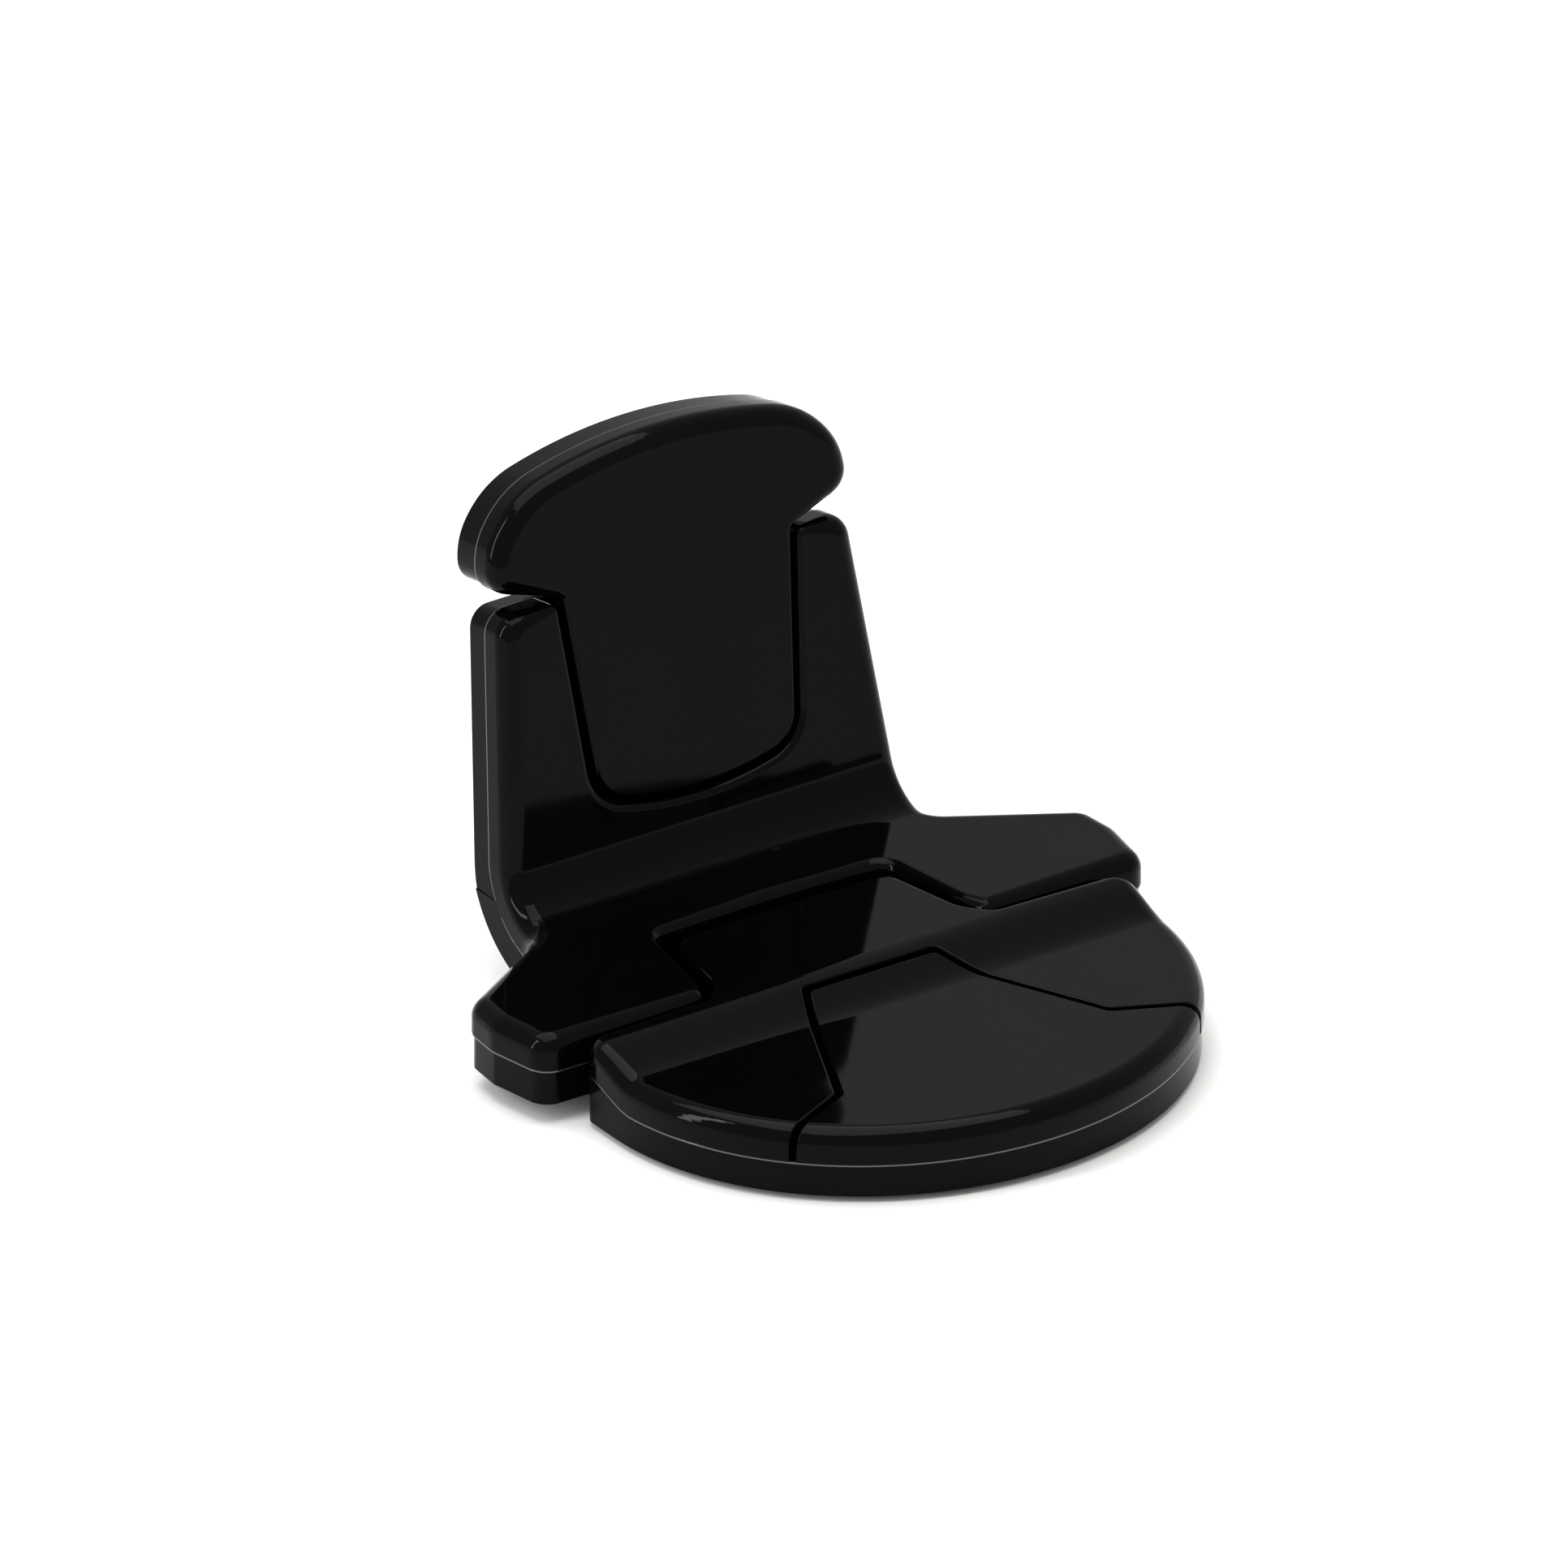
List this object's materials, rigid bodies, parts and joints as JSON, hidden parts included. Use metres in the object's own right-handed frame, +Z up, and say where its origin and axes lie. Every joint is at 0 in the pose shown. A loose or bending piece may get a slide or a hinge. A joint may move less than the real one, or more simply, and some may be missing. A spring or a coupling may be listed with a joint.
{
  "type": "phone stand",
  "caption": "Chair-shaped desk stand for a phone: an L-shaped base with a reclined back, a head that slides up the back and a D-shaped front tray that slides forward.",
  "frame": {"origin": "on the desk, at the middle of the stand's bounding box in X and Y", "axes": "+Z up; the front of the stand faces -Y; +X to the right of someone looking along +Y at its front"},
  "size_m": [0.1026, 0.1038, 0.0741],
  "materials": {
    "cover_gloss": "polished black moulding with soft rounded edges",
    "shell_gloss": "polished black moulding",
    "carriage_nylon": "moulded, matt",
    "rail_nylon": "moulded, matt",
    "plate_steel": "powder-coated steel plate",
    "pin_steel": "turned",
    "screw_steel": "blackened, with a hexagon recess",
    "felt": "pressed felt",
    "foot_rubber": "matt"
  },
  "bodies": {
    "base": {"lower_shell": "shell_gloss", "lower_cover": "cover_gloss", "back_rail_left": "rail_nylon", "back_rail_right": "rail_nylon", "back_stop_pin": "pin_steel", "back_friction_felt": "felt", "base_plate": "plate_steel", "seat_rail_left": "rail_nylon", "seat_rail_right": "rail_nylon", "seat_stop_pin": "pin_steel", "seat_friction_felt": "felt", "foot_rear_left": "foot_rubber", "foot_rear_right": "foot_rubber", "foot_wing_left": "foot_rubber", "foot_wing_right": "foot_rubber", "foot_front_left": "foot_rubber", "foot_front_right": "foot_rubber", "seat_cover_screws": "screw_steel", "back_cover_screws": "screw_steel", "back_rail_screws": "screw_steel", "plate_screws": "screw_steel", "seat_rail_screws": "screw_steel"},
    "head": {"head_shell": "shell_gloss", "head_cover": "cover_gloss", "head_carriage": "carriage_nylon", "head_screws": "screw_steel"},
    "tray": {"tray_shell": "shell_gloss", "tray_rear_cover": "cover_gloss", "tray_front_cover": "cover_gloss", "tray_carriage": "carriage_nylon", "tray_screws": "screw_steel"}
  },
  "joints": [
    {"name": "head_slide", "type": "slide", "parent": "base", "child": "head", "axis": [0, 0.1736, 0.9848], "range_m": [0, 0.012]},
    {"name": "tray_slide", "type": "slide", "parent": "base", "child": "tray", "axis": [0, -1, 0], "range_m": [0, 0.01]}
  ]
}
